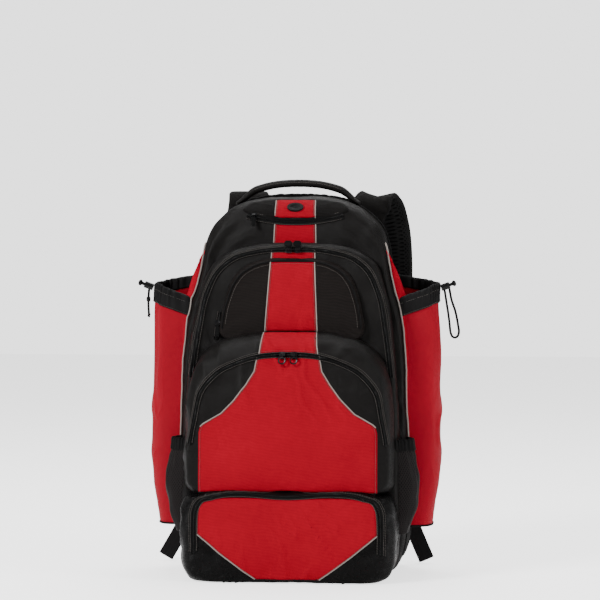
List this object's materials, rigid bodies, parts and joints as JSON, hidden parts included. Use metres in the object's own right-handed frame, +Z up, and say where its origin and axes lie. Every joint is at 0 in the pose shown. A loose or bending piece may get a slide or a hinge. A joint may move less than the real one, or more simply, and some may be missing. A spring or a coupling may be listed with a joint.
{
  "type": "baseball bat backpack",
  "caption": "Tall sports backpack with open side bat sleeves, layered zipped pockets, a padded back, shoulder straps and a grab handle.",
  "frame": {"origin": "middle of the flat base, where the bag stands", "axes": "+Z up, -Y towards the front pockets, +X to the right seen from the front"},
  "size_m": [0.514, 0.2809, 0.622],
  "materials": {
    "fabric_black": "fine black twill nylon",
    "fabric_red": "bright red woven nylon",
    "fabric_crimson": "crimson woven nylon",
    "mesh_black": "black spacer mesh",
    "webbing_black": "black ribbed webbing",
    "zip_black": "black coil zip on tape",
    "plastic_black": "moulded black",
    "metal_dark": "dark painted",
    "rubber_black": "soft black rubber"
  },
  "bodies": {
    "bag": {"main_compartment": "fabric_black", "back_panel": "mesh_black", "back_pad_left": "mesh_black", "back_pad_right": "mesh_black", "side_panel_left": "fabric_red", "side_panel_right": "fabric_red", "second_compartment": "fabric_black", "organizer_pocket": "fabric_black", "front_pocket": "fabric_black", "bottom_pocket": "fabric_black", "top_pocket": "fabric_black", "top_strip": "fabric_red", "upper_strip": "fabric_red", "second_strip": "fabric_red", "organizer_strip": "fabric_red", "ledge_strip": "fabric_red", "front_panel": "fabric_red", "bottom_panel": "fabric_red", "main_zip": "zip_black", "front_zip": "zip_black", "bottom_zip": "zip_black", "top_zip": "zip_black", "side_zip": "zip_black", "main_zip_slider_left": "metal_dark", "main_zip_slider_right": "metal_dark", "front_zip_slider_left": "metal_dark", "front_zip_slider_right": "metal_dark", "top_zip_slider": "metal_dark", "side_zip_slider": "metal_dark", "audio_port": "rubber_black", "haul_handle": "webbing_black", "sleeve_left": "fabric_crimson", "sleeve_right": "fabric_crimson", "sleeve_hem_left": "webbing_black", "sleeve_hem_right": "webbing_black", "cord_lock_left": "plastic_black", "cord_lock_right": "plastic_black", "drawcord_left": "webbing_black", "drawcord_right": "webbing_black", "cord_bead_left": "plastic_black", "mesh_pocket_left": "mesh_black", "mesh_pocket_right": "mesh_black", "elastic_band_left": "webbing_black", "elastic_band_right": "webbing_black", "shoulder_strap_left": "mesh_black", "shoulder_strap_right": "mesh_black", "ladder_lock_left": "plastic_black", "ladder_lock_right": "plastic_black", "webbing_left": "webbing_black", "webbing_right": "webbing_black"},
    "main_zip_pull_left": {"main_zip_pull_left": "plastic_black"},
    "main_zip_pull_right": {"main_zip_pull_right": "plastic_black"},
    "front_ring_left": {"front_ring_left": "metal_dark"},
    "front_ring_right": {"front_ring_right": "metal_dark"},
    "top_zip_pull": {"top_zip_pull": "plastic_black"},
    "side_zip_pull": {"side_zip_pull": "plastic_black"},
    "cord_lock_button_left": {"cord_lock_button_left": "plastic_black"},
    "cord_lock_button_right": {"cord_lock_button_right": "plastic_black"}
  },
  "joints": [
    {"name": "main_zip_pull_left_swing", "type": "hinge", "parent": "bag", "child": "main_zip_pull_left", "pos_m": [-0.0072, -0.00906, 0.51221], "axis": [1, 0, 0], "range_deg": [0, 120]},
    {"name": "main_zip_pull_right_swing", "type": "hinge", "parent": "bag", "child": "main_zip_pull_right", "pos_m": [0.0072, -0.00906, 0.51221], "axis": [1, 0, 0], "range_deg": [0, 120]},
    {"name": "front_ring_left_swing", "type": "hinge", "parent": "bag", "child": "front_ring_left", "pos_m": [-0.009, -0.09425, 0.35071], "axis": [-1, 0, 0], "range_deg": [0, 150]},
    {"name": "front_ring_right_swing", "type": "hinge", "parent": "bag", "child": "front_ring_right", "pos_m": [0.009, -0.09425, 0.35071], "axis": [-1, 0, 0], "range_deg": [0, 150]},
    {"name": "top_zip_pull_swing", "type": "hinge", "parent": "bag", "child": "top_zip_pull", "pos_m": [-0.06536, 0.02728, 0.56508], "axis": [-1, 0, 0], "range_deg": [0, 150]},
    {"name": "side_zip_pull_swing", "type": "hinge", "parent": "bag", "child": "side_zip_pull", "pos_m": [-0.11633, -0.03006, 0.39553], "axis": [-1, 0, 0], "range_deg": [0, 150]},
    {"name": "cord_lock_button_left_push", "type": "slide", "parent": "bag", "child": "cord_lock_button_left", "axis": [0.9397, 0, -0.342], "range_m": [0, 0.0035], "stiffness_N_per_m": 250},
    {"name": "cord_lock_button_right_push", "type": "slide", "parent": "bag", "child": "cord_lock_button_right", "axis": [-0.9397, 0, -0.342], "range_m": [0, 0.0035], "stiffness_N_per_m": 250}
  ]
}
